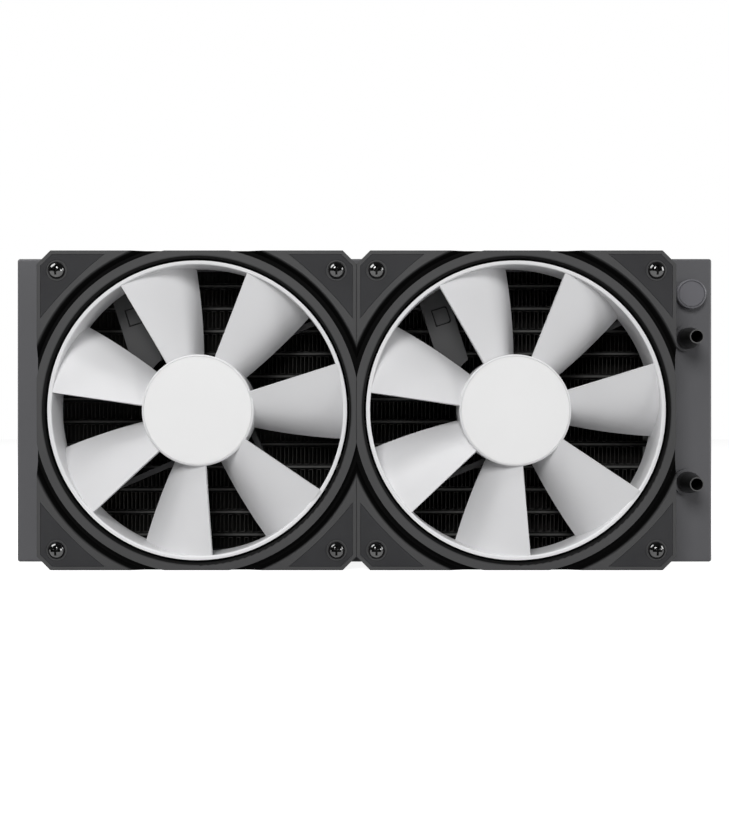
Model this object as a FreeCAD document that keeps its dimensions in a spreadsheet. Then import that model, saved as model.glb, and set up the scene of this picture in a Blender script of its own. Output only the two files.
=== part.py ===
import FreeCAD, Part
import math
import os
import re

import Sketcher
from FreeCAD import Placement, Rotation, Vector

# A liquid cooler's radiator with two fans on its front. Every piece is drawn with the radiator lying on
# its back, x along its length, y across it and z upwards out of its front. Then each piece is stood on
# the radiator's long edge, with the fans facing -Y and the joint between fans and radiator at Y = 0.

# Driving sizes, in millimetres and degrees: name, value, meaning
SIZES = [
    ("radiator_depth", 27, "front to back"),
    ("left_tank_length", 16, "tank box, along the radiator"),
    ("right_tank_length", 22, "tank box with the hose fittings"),
    ("tank_wall", 1.5, "tank sheet and its divider"),
    ("tank_edge", 1, "outside rounding of the tanks and headers"),
    ("header_thickness", 1.5, "slotted plate that closes a tank"),
    ("plate_thickness", 1.2, "side plate sheet"),
    ("plate_lip", 5.1, "height of the side plate's lips"),
    ("plate_bend", 0.8, "outside rounding of the side plate's bends"),
    ("hole_setback", 4.5, "first screw hole from the header plate"),
    ("tab_gap", 0.1, "round screw tab to the header plate"),
    ("collar_radius", 2.7, "drawn collar round a tapped hole"),
    ("collar_gap", 0.6, "collar to the front of the core"),
    ("fan_thread", 1.75, "tapped holes on the front, for the fan screws"),
    ("case_thread", 1.5, "tapped holes on the back, for case screws"),
    ("core_recess", 3, "core below the radiator's front and back"),
    ("outer_strip", 8.3, "height of the fin strip along a side plate"),
    ("tube_count", 12, "flat coolant tubes"),
    ("tube_thickness", 2, "flat tube, over its walls"),
    ("tube_wall", 0.35, "flat tube's wall"),
    ("tube_nose", 0.7, "slope at the tube's front and back edges"),
    ("tube_reach", 2, "tube inside each tank"),
    ("slot_gap", 0.05, "brazing gap round a tube in its header"),
    ("fin_pitch", 10, "one whole fold of a fin strip"),
    ("fin_thickness", 0.3, "fin sheet"),
    ("fin_end_gap", 0.5, "from a fin strip to the headers"),
    ("fitting_inset", 10.2, "hose fittings from the radiator's end"),
    ("fitting_drop", 17.5, "from the fill plug down to the inlet"),
    ("fitting_length", 15.6, "fitting, proud of the tank"),
    ("fitting_neck", 3.5, "radius of the fitting in the tank wall"),
    ("fitting_collar", 5.2, "radius of the fitting's collar"),
    ("fitting_collar_height", 1.6, "fitting's collar"),
    ("fitting_land", 4.15, "radius of the fitting's straight land"),
    ("fitting_land_length", 4.1, "straight land above the collar"),
    ("fitting_tip", 2.7, "radius of the tapered tip"),
    ("fitting_bore", 2.3, "radius of the coolant bore"),
    ("neck_below", 3, "fittings and plug inside the tank wall"),
    ("neck_gap", 0.1, "round a neck in the tank wall"),
    ("plug_inset", 8.8, "fill plug from the radiator's end"),
    ("plug_drop", 14.2, "fill plug from the radiator's top"),
    ("plug_radius", 5.8, "fill plug's head"),
    ("plug_height", 3, "fill plug's head"),
    ("plug_ring", 5.2, "outer radius of the line round the plug's face"),
    ("plug_ring_width", 0.35, "line round the plug's face"),
    ("plug_edge", 0.3, "chamfer of the plug's head"),
    ("seal_width", 0.9, "ring seals, across the ring"),
    ("seal_height", 0.8, "ring seals"),
    ("seal_gap", 0.05, "round a seal in its groove"),
    ("fan_width", 120, "square fan frame"),
    ("fan_depth", 25, "fan frame, front to back"),
    ("screw_inset", 7.5, "screw holes from the frame's sides"),
    ("frame_chamfer", 5.2, "cut corners of the fan frame"),
    ("front_flange", 4.5, "thickness"),
    ("rear_flange", 4, "thickness"),
    ("duct_inset", 2.8, "duct's bore from the frame's sides"),
    ("duct_wall", 2, "air duct between the flanges"),
    ("mouth_rounding", 1.3, "front edge of the duct"),
    ("rim_width", 4, "flat rim round the duct's mouth"),
    ("groove_floor", 1.8, "width of the floor of the groove round the rim"),
    ("groove_slope", 2, "width of the groove's sloping side"),
    ("ring_groove_depth", 2, "groove round the rim"),
    ("column_radius", 4.3, "screw column between the flanges"),
    ("column_rib", 2, "rib from the column to the duct"),
    ("screw_hole", 2.2, "radius of the fan's screw holes"),
    ("pad_depth", 1.2, "rubber corner pads"),
    ("pad_inset", 1.5, "pad from the frame's sides"),
    ("pad_share", 0.58, "where a pad starts, as a share of half the frame"),
    ("pad_curve", 137, "radius of the pad's inner edge"),
    ("pad_gap", 0.12, "round a pad in its pocket"),
    ("boss_radius", 3.85, "frame's boss through the pad"),
    ("seat_radius", 3.4, "recess under a screw head"),
    ("seat_depth", 0.4, "recess under a screw head"),
    ("arm_turn", 23.4, "direction of the first thin arm"),
    ("arm_offset", 14.2, "arm's centre line from the fan's axis"),
    ("arm_width", 2, "thin arm"),
    ("arm_foot", 0.6, "arms and motor base above the joint"),
    ("arm_top", 5.2, "front edge of the arms"),
    ("cover_turn", 107.8, "direction of the wide arm"),
    ("cover_offset", 15.2, "wide arm's centre line from the axis"),
    ("cover_width", 11.4, "wide arm over the cable"),
    ("cover_start", 25.8, "radius where the wide arm starts"),
    ("cover_wall", 1.4, "front of the wide arm"),
    ("cover_side", 1, "sides of the wide arm"),
    ("clip_setback", 13.9, "cable clip's middle from the duct's bore"),
    ("clip_offset", 14.4, "cable clip's middle from the axis"),
    ("clip_length", 5.9, "clip's face along the arm"),
    ("clip_width", 5.5, "clip's face across the arm"),
    ("clip_gap", 0.45, "round the clip's face"),
    ("clip_flange", 0.55, "clip's hidden flange beyond the gap"),
    ("clip_flange_height", 0.8, "clip's hidden flange"),
    ("clip_corner", 1, "rounding of two of the clip's corners"),
    ("base_overhang", 0.05, "motor base beyond the hub"),
    ("base_rim", 1.4, "rim behind the motor base"),
    ("base_thickness", 2.2, "motor base"),
    ("base_step", 0.6, "motor base in front of the arms"),
    ("bearing_tube", 4.6, "outer radius of the bearing tube"),
    ("bearing_wall", 1.1, "bearing tube"),
    ("bearing_gap", 0.3, "bearing tube and shaft to what turns past their ends"),
    ("bearing_bottom", 1.4, "closed end of the bearing tube"),
    ("shaft_radius", 1.5, "rotor shaft"),
    ("shaft_clearance", 0.03, "shaft in its sleeve, all round"),
    ("sleeve_recess", 0.1, "sleeve inside the end of its tube"),
    ("shaft_seat", 0.8, "shaft inside the hub's front wall"),
    ("shaft_neck", 1.15, "shaft's radius in the clip's groove"),
    ("shaft_tail", 0.5, "shaft behind its retaining clip"),
    ("retainer_height", 0.5, "retaining clip"),
    ("retainer_radius", 2.6, "retaining clip"),
    ("hub_radius", 21.15, "impeller hub"),
    ("hub_setback", 3, "hub's face behind the frame's front"),
    ("skirt_gap", 0.8, "hub's skirt to the motor base"),
    ("hub_wall", 1.2, "hub's skirt"),
    ("hub_top", 2.4, "hub's front wall with the cap's recess"),
    ("hub_edge", 0.5, "rounding of the hub's front edge"),
    ("hub_boss", 3.2, "boss round the shaft"),
    ("hub_boss_length", 2.2, "boss round the shaft"),
    ("cap_radius", 20.4, "round cap in the hub's face"),
    ("cap_thickness", 0.9, "round cap"),
    ("cap_gap", 0.08, "round the cap in its recess"),
    ("ring_wall", 1.5, "impeller's outer ring"),
    ("tip_gap", 0.8, "ring to the duct, all round"),
    ("ring_gap", 0.8, "ring to the arms"),
    ("ring_setback", 1.6, "ring behind the frame's front"),
    ("blade_count", 7, "blades of an impeller"),
    ("blade_phase", 4.1, "turn of the first blade from +X"),
    ("blade_thickness", 1.7, "blade, along the axis"),
    ("blade_sink", 0.6, "blade ends inside the hub and the ring"),
    ("root_lead", 5.8, "leading edge at the root"),
    ("root_trail", 6.9, "trailing edge at the root"),
    ("root_depth", 3.6, "leading edge behind the frame's front"),
    ("root_bend", 1.3, "rise of the root section's curve"),
    ("root_back", 9.6, "trailing edge above the joint"),
    ("middle_lead", 10.2, "leading edge at the middle"),
    ("middle_trail", 11.4, "trailing edge at the middle"),
    ("middle_depth", 2.6, "leading edge behind the frame's front"),
    ("middle_bend", 1.75, "rise of the middle section's curve"),
    ("middle_back", 9.2, "trailing edge above the joint"),
    ("tip_lead", 14.7, "leading edge at the tip"),
    ("tip_trail", 14.3, "trailing edge at the tip"),
    ("tip_depth", 1.7, "leading edge behind the frame's front"),
    ("tip_bend", 2.1, "rise of the tip section's curve"),
    ("tip_back", 8.8, "trailing edge above the joint"),
    ("yoke_wall", 1, "steel rotor cup"),
    ("yoke_gap", 2.2, "steel cup and motor base"),
    ("yoke_hole", 4, "radius of the hole in the cup's end"),
    ("magnet_wall", 1.9, "ring magnet"),
    ("magnet_setback", 0.4, "magnet from the cup's end"),
    ("magnet_recess", 1, "magnet inside the cup's open end"),
    ("seat_play", 0.05, "between glued round pieces"),
    ("core_rise", 4.7, "stator core from the motor base"),
    ("air_gap", 0.6, "stator to magnet"),
    ("pole_count", 4, "stator poles"),
    ("pole_neck", 4, "width of a pole's neck"),
    ("pole_shoe", 2.5, "thickness of a pole's shoe"),
    ("pole_slot", 2.4, "gap between two shoes"),
    ("core_hub", 2.4, "thickness of the core's inner ring"),
    ("coil_thickness", 1.8, "winding round a pole"),
    ("coil_gap", 0.15, "winding to the core"),
    ("coil_clearance", 0.55, "windings to the turning cup"),
    ("board_thickness", 1, "circuit board"),
    ("board_inset", 2.45, "circuit board inside the hub's skirt"),
    ("board_gap", 0.2, "circuit board to the bearing tube"),
    ("screw_shank", 1.7, "fan screw's radius"),
    ("screw_gap", 0.8, "screw's tip to the front of the core"),
    ("screw_point", 0.5, "chamfer of the fan screw's tip"),
    ("head_radius", 3.05, "fan screw's head"),
    ("head_height", 2.4, "fan screw's head"),
    ("head_side", 0.7, "straight side of the head"),
    ("head_crown", 1.2, "radius of the head's flat crown"),
    ("head_dome", 3.6, "radius of the head's dome in section"),
    ("cross_length", 3.6, "cross recess, tip to tip"),
    ("cross_width", 0.8, "cross recess"),
    ("cross_depth", 1.4, "cross recess"),
]
# Sizes that follow from the driving ones
FOLLOWING = {
    "left_overhang": "left_tank_length + header_thickness + hole_setback - screw_inset",
    "right_overhang": "right_tank_length + header_thickness + hole_setback - screw_inset",
    "radiator_length": "2 * fan_width + left_overhang + right_overhang",
    "radiator_height": "fan_width",
    "core_left": "left_tank_length + header_thickness - radiator_length / 2",
    "core_right": "radiator_length / 2 - right_tank_length - header_thickness",
    "tab_radius": "hole_setback - tab_gap",
    "collar_depth": "core_recess - collar_gap",
    "tube_row": "radiator_height - 2 * plate_thickness - 2 * outer_strip - tube_thickness",
    "tube_pitch": "tube_row / (tube_count - 1)",
    "first_tube": "-tube_row / 2",
    "neck_depth": "tank_wall + neck_below",
    "fitting_x": "radiator_length / 2 - fitting_inset",
    "fitting_y": "plug_y - fitting_drop",
    "fitting_land_top": "fitting_collar_height + fitting_land_length",
    "plug_x": "radiator_length / 2 - plug_inset",
    "plug_y": "radiator_height / 2 - plug_drop",
    "seal_groove": "fitting_neck + seal_width + 2 * seal_gap",
    "left_fan": "left_overhang + fan_width / 2 - radiator_length / 2",
    "right_fan": "left_fan + fan_width",
    "screw_offset": "fan_width / 2 - screw_inset",
    "duct_radius": "fan_width / 2 - duct_inset",
    "rim_radius": "duct_radius + rim_width",
    "groove_bottom": "rim_radius + groove_floor",
    "groove_top": "groove_bottom + groove_slope",
    "pad_start": "pad_share * fan_width / 2",
    "pad_edge": "fan_width / 2 - pad_inset",
    "pad_centre": "sqrt(pad_curve ^ 2 / 2 - (pad_edge - pad_start) ^ 2 / 4) - (pad_edge + pad_start) / 2",
    "arm_root": "base_radius - base_rim / 2",
    "arm_end": "duct_radius + duct_wall / 2",
    "clip_along": "duct_radius - clip_setback",
    "base_radius": "hub_radius + base_overhang",
    "base_front": "arm_top + base_step",
    "bearing_front": "boss_end - bearing_gap",
    "bearing_floor": "base_front - base_thickness + bearing_bottom",
    "bearing_bore": "bearing_tube - bearing_wall",
    "shaft_end": "bearing_floor + bearing_gap",
    "shaft_front": "cup_top + shaft_seat",
    "shaft_bore": "shaft_radius + seat_play / 2",
    "retainer_back": "shaft_end + shaft_tail",
    "retainer_front": "retainer_back + retainer_height",
    "sleeve_back": "retainer_front + bearing_gap",
    "hub_front": "fan_depth - hub_setback",
    "cap_seat": "hub_front - cap_thickness",
    "cup_top": "hub_front - hub_top",
    "cup_radius": "hub_radius - hub_wall",
    "boss_end": "cup_top - hub_boss_length",
    "skirt_end": "base_front + skirt_gap",
    "ring_radius": "duct_radius - tip_gap",
    "ring_inner": "ring_radius - ring_wall",
    "ring_front": "fan_depth - ring_setback",
    "ring_back": "arm_top + ring_gap",
    "root_station": "cup_radius - blade_sink / 2",
    "middle_station": "(root_station + tip_station) / 2",
    "tip_station": "ring_radius + blade_sink",
    "yoke_outer": "cup_radius - seat_play",
    "yoke_end": "base_front + yoke_gap",
    "magnet_outer": "yoke_outer - yoke_wall - seat_play",
    "magnet_inner": "magnet_outer - magnet_wall",
    "magnet_end": "yoke_end + magnet_recess",
    "magnet_top": "cup_top - yoke_wall - magnet_setback",
    "core_outer": "magnet_inner - air_gap",
    "core_bore": "bearing_tube + seat_play",
    "core_back": "base_front + core_rise",
    "core_front": "cup_top - yoke_wall - coil_clearance - coil_thickness - coil_gap",
    "coil_side": "pole_neck / 2 + coil_gap + coil_thickness",
    "coil_start": "core_bore + core_hub + coil_gap",
    "coil_end": "sqrt((core_outer - pole_shoe) ^ 2 - coil_side ^ 2) - coil_gap",
    "board_radius": "cup_radius - board_inset",
    "screw_seat": "fan_depth - seat_depth",
    "screw_tip": "screw_gap - core_recess",
    "head_top": "screw_seat + head_height",
}
STANDING = Rotation(Vector(1, 0, 0), 90)
FULL_TURN = 360

doc = FreeCAD.newDocument("RadiatorWithTwoFans")
sheet = doc.addObject("Spreadsheet::Sheet", "Size")
for row, (name, number, meaning) in enumerate(SIZES, start=1):
    sheet.set(f"A{row}", name)
    sheet.set(f"B{row}", str(number))
    sheet.set(f"C{row}", meaning)
    sheet.setAlias(f"B{row}", name)
doc.recompute()
size_names = {name for name, number, meaning in SIZES}


def formula(text):
    """The formula in terms of the sheet's cells only."""
    def spelled(word):
        name = word[0]
        if name in FOLLOWING:
            return f"({formula(FOLLOWING[name])})"
        return f"Size.{name}" if name in size_names else name
    return re.sub(r"[a-z]\w+", spelled, text)


def value(text):
    """What a formula gives with the sizes as they stand."""
    result = sheet.evalExpression(formula(text))
    return float(getattr(result, "Value", result))


def origin_feature(body, role):
    return next(item for item in body.Origin.OriginFeatures if item.Role == role)


def new_body(label, x="0", y="0", turn="0"):
    """An empty body, stood up, its own axis at x and y from the middle of the radiator's face."""
    body = doc.addObject("PartDesign::Body", label)
    body.Label = label
    body.AllowCompound = True
    body.Placement = Placement(Vector(), STANDING.multiply(Rotation(Vector(0, 0, 1), value(turn))))
    body.setExpression("Placement.Base.x", formula(x))
    body.setExpression("Placement.Base.z", formula(f"radiator_height / 2 + {y}"))
    return body


def new_sketch(body, plane="XY_Plane", height="0", turn="0"):
    """A sketch on one of the body's own planes, raised to a height and turned about its normal."""
    sketch = body.newObject("Sketcher::SketchObject", "Sketch")
    sketch.AttachmentSupport = [(origin_feature(body, plane), "")]
    sketch.MapMode = "FlatFace"
    sketch.AttachmentOffset = Placement(Vector(), Rotation(Vector(0, 0, 1), value(turn)))
    sketch.setExpression("AttachmentOffset.Base.z", formula(height))
    if turn != "0":
        sketch.setExpression("AttachmentOffset.Rotation.Angle", formula(turn))
    return sketch


def hold(sketch, kind, *points, size):
    """One dimension of a sketch, bound to its formula."""
    index = sketch.addConstraint(Sketcher.Constraint(kind, *points, value(size)))
    sketch.setExpression(f"Constraints[{index}]", formula(size))


def arc_between(start, end, radius, clockwise):
    """An arc of a circle from start to end, and the numbers of its two ends in the sketch."""
    chord = end - start
    side = Vector(-chord.y, chord.x, 0).normalize()
    if clockwise:
        side = side * -1
    centre = (start + end) * 0.5 + side * math.sqrt(radius ** 2 - (chord.Length / 2) ** 2)
    first, last = (end, start) if clockwise else (start, end)
    angles = [math.atan2(point.y - centre.y, point.x - centre.x) for point in (first, last)]
    arc = Part.ArcOfCircle(Part.Circle(centre, Vector(0, 0, 1), radius), *angles)
    return arc, ((2, 1) if clockwise else (1, 2))


def outline(sketch, corners, arcs=None):
    """A closed outline through corners, each a pair of formulas. arcs gives an edge, by its number, a
    radius and a direction; the other edges are straight."""
    points = [Vector(value(x), value(y), 0) for x, y in corners]
    edges = []
    for number, start in enumerate(points):
        end = points[(number + 1) % len(points)]
        if arcs and number in arcs:
            radius, direction = arcs[number]
            shape, ends = arc_between(start, end, value(radius), direction == "clockwise")
        else:
            shape, ends = Part.LineSegment(start, end), (1, 2)
        edges.append((sketch.addGeometry(shape, False), ends))
    for number, (edge, ends) in enumerate(edges):
        next_edge, next_ends = edges[(number + 1) % len(edges)]
        sketch.addConstraint(Sketcher.Constraint("Coincident", edge, ends[1], next_edge, next_ends[0]))
    for (edge, ends), (x, y) in zip(edges, corners):
        hold(sketch, "DistanceX", -1, 1, edge, ends[0], size=x)
        hold(sketch, "DistanceY", -1, 1, edge, ends[0], size=y)
    for number, (radius, direction) in (arcs or {}).items():
        hold(sketch, "Radius", edges[number][0], size=radius)


def rectangle(sketch, left, bottom, right, top):
    outline(sketch, [(left, bottom), (right, bottom), (right, top), (left, top)])


def circle(sketch, radius, x="0", y="0"):
    centre = Vector(value(x), value(y), 0)
    edge = sketch.addGeometry(Part.Circle(centre, Vector(0, 0, 1), value(radius)), False)
    hold(sketch, "DistanceX", -1, 1, edge, 3, size=x)
    hold(sketch, "DistanceY", -1, 1, edge, 3, size=y)
    hold(sketch, "Radius", edge, size=radius)


def feature(kind, sketch):
    body = sketch.getParentGeoFeatureGroup()
    made = body.newObject("PartDesign::" + kind, kind)
    made.Profile = sketch
    body.Tip = made
    return made


def pad(sketch, length, reverse=False):
    made = feature("Pad", sketch)
    made.setExpression("Length", formula(length))
    made.Reversed = reverse
    return made


def pocket(sketch, depth, reverse=False):
    """A cut against the sketch's normal, or along it if reversed."""
    made = feature("Pocket", sketch)
    made.setExpression("Length", formula(depth))
    made.Reversed = reverse
    return made


def turned(sketch, kind="Revolution"):
    """A full turn of a profile drawn as radius and height, added or, as a Groove, cut away."""
    made = feature(kind, sketch)
    made.ReferenceAxis = (sketch, ["V_Axis"])
    made.Angle = FULL_TURN
    return made


def profile(body, corners):
    """A profile of radius and height beside the body's axis."""
    sketch = new_sketch(body, "XZ_Plane")
    outline(sketch, corners)
    return sketch


def around(made, count):
    """Copies of a feature spread evenly round the body's axis."""
    body = made.getParentGeoFeatureGroup()
    pattern = body.newObject("PartDesign::PolarPattern", "PolarPattern")
    pattern.Originals = [made]
    pattern.Axis = (origin_feature(body, "Z_Axis"), [""])
    pattern.Angle = FULL_TURN
    pattern.setExpression("Occurrences", formula(count))
    body.Tip = pattern
    return pattern


def in_row(made, axis, length, count):
    """Copies of a feature spread evenly over a length along one of the body's axes."""
    body = made.getParentGeoFeatureGroup()
    pattern = body.newObject("PartDesign::LinearPattern", "LinearPattern")
    pattern.Originals = [made]
    pattern.Direction = (origin_feature(body, axis), [""])
    pattern.setExpression("Length", formula(length))
    pattern.setExpression("Occurrences", formula(count))
    body.Tip = pattern
    return pattern


def rounded(made, radius, wanted):
    """The feature with those of its edges rounded that the test picks."""
    doc.recompute()
    body = made.getParentGeoFeatureGroup()
    edges = [f"Edge{n}" for n, edge in enumerate(made.Shape.Edges, start=1) if wanted(edge)]
    finished = body.newObject("PartDesign::Fillet", "Fillet")
    finished.Base = (made, edges)
    finished.setExpression("Radius", formula(radius))
    body.Tip = finished
    return finished


def along_x(edge):
    return abs(edge.tangentAt(edge.FirstParameter).x) > 0.999


def close(number, text):
    return abs(number - value(text)) < 0.001


hole_columns = [f"{fan} {side} screw_offset" for fan in ("left_fan", "right_fan") for side in "-+"]
fitting_rows = {"inlet": "fitting_y", "outlet": "-fitting_y"}


# End tanks: folded sheet boxes, open towards the core, the right one with a divider at half height
def end_tank(label, outer, length, cavities, holes):
    """A tank box whose outer wall is at x = outer and which runs inwards for length, a signed size."""
    body = new_body(label)
    sketch = new_sketch(body)
    half = "radiator_height / 2"
    outline(sketch, [(outer, f"-{half}"), (f"{outer} + {length}", f"-{half}"), (f"{outer} + {length}", half),
                     (outer, half)])
    box = pad(sketch, "radiator_depth", reverse=True)
    inner_face = value(f"{outer} + {length}")
    rounded(box, "tank_edge", lambda edge: any(abs(v.X - inner_face) > 0.1 for v in edge.Vertexes))
    sketch = new_sketch(body, "YZ_Plane", f"{outer} + {length}")
    for low, high in cavities:
        rectangle(sketch, low, "tank_wall - radiator_depth", high, "-tank_wall")
    inwards = length.startswith("-")
    pocket(sketch, f"abs({length}) - tank_wall", reverse=inwards)
    if holes:
        sketch = new_sketch(body)
        for radius, x, y in holes:
            circle(sketch, radius, x, y)
        pocket(sketch, "tank_wall")


inner_top = "(radiator_height / 2 - tank_wall)"
end_tank("left_end_tank", "-radiator_length / 2", "left_tank_length", [(f"-{inner_top}", inner_top)], [])
end_tank(
    "right_end_tank", "radiator_length / 2", "-right_tank_length",
    [("tank_wall / 2", inner_top), (f"-{inner_top}", "-tank_wall / 2")],
    [("fitting_neck + neck_gap", "fitting_x", row) for row in fitting_rows.values()]
    + [("fitting_neck + neck_gap", "plug_x", "plug_y")])


# Header plates: each closes a tank and holds the tubes in slots
for label, left_face in (("left_header_plate", "core_left - header_thickness"),
                         ("right_header_plate", "core_right")):
    body = new_body(label)
    sketch = new_sketch(body, "YZ_Plane", left_face)
    rectangle(sketch, "-radiator_height / 2", "-radiator_depth", "radiator_height / 2", "0")
    rounded(pad(sketch, "header_thickness"), "tank_edge", along_x)
    sketch = new_sketch(body, "YZ_Plane", left_face)
    rectangle(sketch, "first_tube - tube_thickness / 2 - slot_gap", "core_recess - radiator_depth - slot_gap",
              "first_tube + tube_thickness / 2 + slot_gap", "slot_gap - core_recess")
    in_row(pocket(sketch, "header_thickness", reverse=True), "Y_Axis", "tube_row", "tube_count")


# Side plates: channel sections above and below the core, with tapped screw tabs on both lips
for label, side in (("top_side_plate", ""), ("bottom_side_plate", "-")):
    body = new_body(label)
    web = f"{side}radiator_height / 2"
    web_inner = f"{side}(radiator_height / 2 - plate_thickness)"
    lip_edge = f"{side}(radiator_height / 2 - plate_lip)"
    hole_row = f"{side}screw_offset"
    sketch = new_sketch(body, "YZ_Plane", "core_left")
    outline(sketch, [
        (web, "0"), (web, "-radiator_depth"), (lip_edge, "-radiator_depth"),
        (lip_edge, "plate_thickness - radiator_depth"), (web_inner, "plate_thickness - radiator_depth"),
        (web_inner, "-plate_thickness"), (lip_edge, "-plate_thickness"), (lip_edge, "0")])
    channel = pad(sketch, "core_right - core_left")
    rounded(channel, "plate_bend",
            lambda edge: along_x(edge) and all(close(abs(v.Y), "radiator_height / 2") for v in edge.Vertexes))
    for height, reverse, thread in (("0", True, "fan_thread"), ("-radiator_depth", False, "case_thread")):
        sketch = new_sketch(body, height=height)
        for column in hole_columns:
            circle(sketch, "tab_radius", column, hole_row)
        pad(sketch, "plate_thickness", reverse)
        sketch = new_sketch(body, height=height)
        for column in hole_columns:
            circle(sketch, "collar_radius", column, hole_row)
        pad(sketch, "collar_depth", reverse)
        sketch = new_sketch(body, height=height)
        for column in hole_columns:
            circle(sketch, thread, column, hole_row)
        pocket(sketch, "collar_depth", not reverse)


# Coolant tubes: flat, hollow, open into both tanks
body = new_body("coolant_tubes")
sketch = new_sketch(body, "YZ_Plane", "core_left - header_thickness - tube_reach")
tube_front = "-core_recess"
tube_back = "(core_recess - radiator_depth)"
tube_low = "first_tube - tube_thickness / 2"
tube_high = "first_tube + tube_thickness / 2"
outline(sketch, [
    (tube_low, f"{tube_front} - tube_nose"), (tube_low, f"{tube_back} + tube_nose"),
    ("first_tube - tube_wall", tube_back), ("first_tube + tube_wall", tube_back),
    (tube_high, f"{tube_back} + tube_nose"), (tube_high, f"{tube_front} - tube_nose"),
    ("first_tube + tube_wall", tube_front), ("first_tube - tube_wall", tube_front)])
rectangle(sketch, f"{tube_low} + tube_wall", f"{tube_back} + tube_nose", f"{tube_high} - tube_wall",
          f"{tube_front} - tube_nose")
tube = pad(sketch, "core_right - core_left + 2 * header_thickness + 2 * tube_reach")
in_row(tube, "Y_Axis", "tube_row", "tube_count")


# Fin strips: sheet folded to and fro between two tubes, or between a tube and a side plate
def fin_strip(low, high):
    """One folded strip between two heights, its folds touching what lies above and below."""
    left = value("core_left + fin_end_gap")
    right = value("core_right - fin_end_gap")
    folds = 2 * math.floor((right - left) / value("fin_pitch"))
    step = (right - left) / folds
    upright = value("fin_thickness") * math.hypot(high - low, step) / step
    front = value("-core_recess")
    upper = [(low + upright, high)[fold % 2] for fold in range(folds + 1)]
    lower = [(low, high - upright)[fold % 2] for fold in range(folds + 1)]
    edge = [Vector(left + step * fold, y, front) for fold, y in enumerate(upper)]
    edge += [Vector(left + step * fold, y, front) for fold, y in reversed(list(enumerate(lower)))]
    sheet_face = Part.Face(Part.makePolygon(edge + edge[:1]))
    return sheet_face.extrude(Vector(0, 0, -value("radiator_depth - 2 * core_recess")))


tube_middles = [value(f"first_tube + {n} * tube_pitch") for n in range(int(value("tube_count")))]
half_tube = value("tube_thickness / 2")
web_height = value("radiator_height / 2 - plate_thickness")
fin_floors = [-web_height] + [middle + half_tube for middle in tube_middles]
fin_ceilings = [middle - half_tube for middle in tube_middles] + [web_height]
fins = doc.addObject("Part::Feature", "fin_strips")
fins.Shape = Part.makeCompound([fin_strip(low, high) for low, high in zip(fin_floors, fin_ceilings)])
fins.Placement = Placement(Vector(0, 0, value("radiator_height / 2")), STANDING)


# Hose fittings: a collar on the tank, a straight land and a tapered tip round one bore
def ring_seal(body, inner):
    """A ring of rectangular section on the tank's face, round a neck."""
    turned(profile(body, [
        (f"{inner} + seal_gap", "0"), (f"{inner} + seal_gap + seal_width", "0"),
        (f"{inner} + seal_gap + seal_width", "seal_height"), (f"{inner} + seal_gap", "seal_height")]))


for name, row in fitting_rows.items():
    body = new_body(f"{name}_fitting", "fitting_x", row)
    turned(profile(body, [
        ("fitting_bore", "-neck_depth"), ("fitting_neck", "-neck_depth"), ("fitting_neck", "seal_height"),
        ("seal_groove", "seal_height"), ("seal_groove", "0"), ("fitting_collar", "0"),
        ("fitting_collar", "fitting_collar_height"), ("fitting_land", "fitting_collar_height"),
        ("fitting_land", "fitting_land_top"), ("fitting_tip", "fitting_length"),
        ("fitting_bore", "fitting_length")]))
    body = new_body(f"{name}_seal", "fitting_x", row)
    ring_seal(body, "fitting_neck")


# Fill plug: a flat round head with a line round its face, on a neck through the tank wall
body = new_body("fill_plug", "plug_x", "plug_y")
turned(profile(body, [
    ("0", "-neck_depth"), ("fitting_neck", "-neck_depth"), ("fitting_neck", "seal_height"),
    ("seal_groove", "seal_height"), ("seal_groove", "0"), ("plug_radius", "0"),
    ("plug_radius", "plug_height - plug_edge"), ("plug_radius - plug_edge", "plug_height"),
    ("plug_ring", "plug_height"), ("plug_ring", "plug_height - plug_ring_width"),
    ("plug_ring - plug_ring_width", "plug_height - plug_ring_width"),
    ("plug_ring - plug_ring_width", "plug_height"), ("0", "plug_height")]))
body = new_body("fill_plug_seal", "plug_x", "plug_y")
ring_seal(body, "fitting_neck")


# Fan frame: duct, two flanges, screw columns, arms, motor base and bearing tube, moulded in one
def square_plate(body, height, thickness, reverse):
    """The frame's square outline with its corners cut off, as a plate."""
    sketch = new_sketch(body, height=height)
    side = "fan_width / 2"
    cut = "(fan_width / 2 - frame_chamfer)"
    outline(sketch, [(side, f"-{cut}"), (side, cut), (cut, side), (f"-{cut}", side), (f"-{side}", cut),
                     (f"-{side}", f"-{cut}"), (f"-{cut}", f"-{side}"), (cut, f"-{side}")])
    return pad(sketch, thickness, reverse)


corner_signs = [("", ""), ("-", ""), ("-", "-"), ("", "-")]


def corner_circles(body, height, radius):
    """A sketch with one circle round each of the frame's four screw axes."""
    sketch = new_sketch(body, height=height)
    for x_sign, y_sign in corner_signs:
        circle(sketch, radius, f"{x_sign}screw_offset", f"{y_sign}screw_offset")
    return sketch


def pad_sketch(body, height, growth, hole):
    """One corner pad's outline, grown by a clearance, with a hole round the screw's boss."""
    sketch = new_sketch(body, height=height)
    edge = f"(pad_edge + {growth})"
    curve = f"(pad_curve - {growth})"
    leg_end = f"(sqrt({curve} ^ 2 - ({edge} + pad_centre) ^ 2) - pad_centre)"
    cut = f"({edge} - frame_chamfer + (pad_inset - {growth}) * (2 - sqrt(2)))"
    outline(sketch, [(edge, leg_end), (edge, cut), (cut, edge), (leg_end, edge)],
            arcs={3: (curve, "clockwise")})
    circle(sketch, hole, "screw_offset", "screw_offset")
    return sketch


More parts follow.
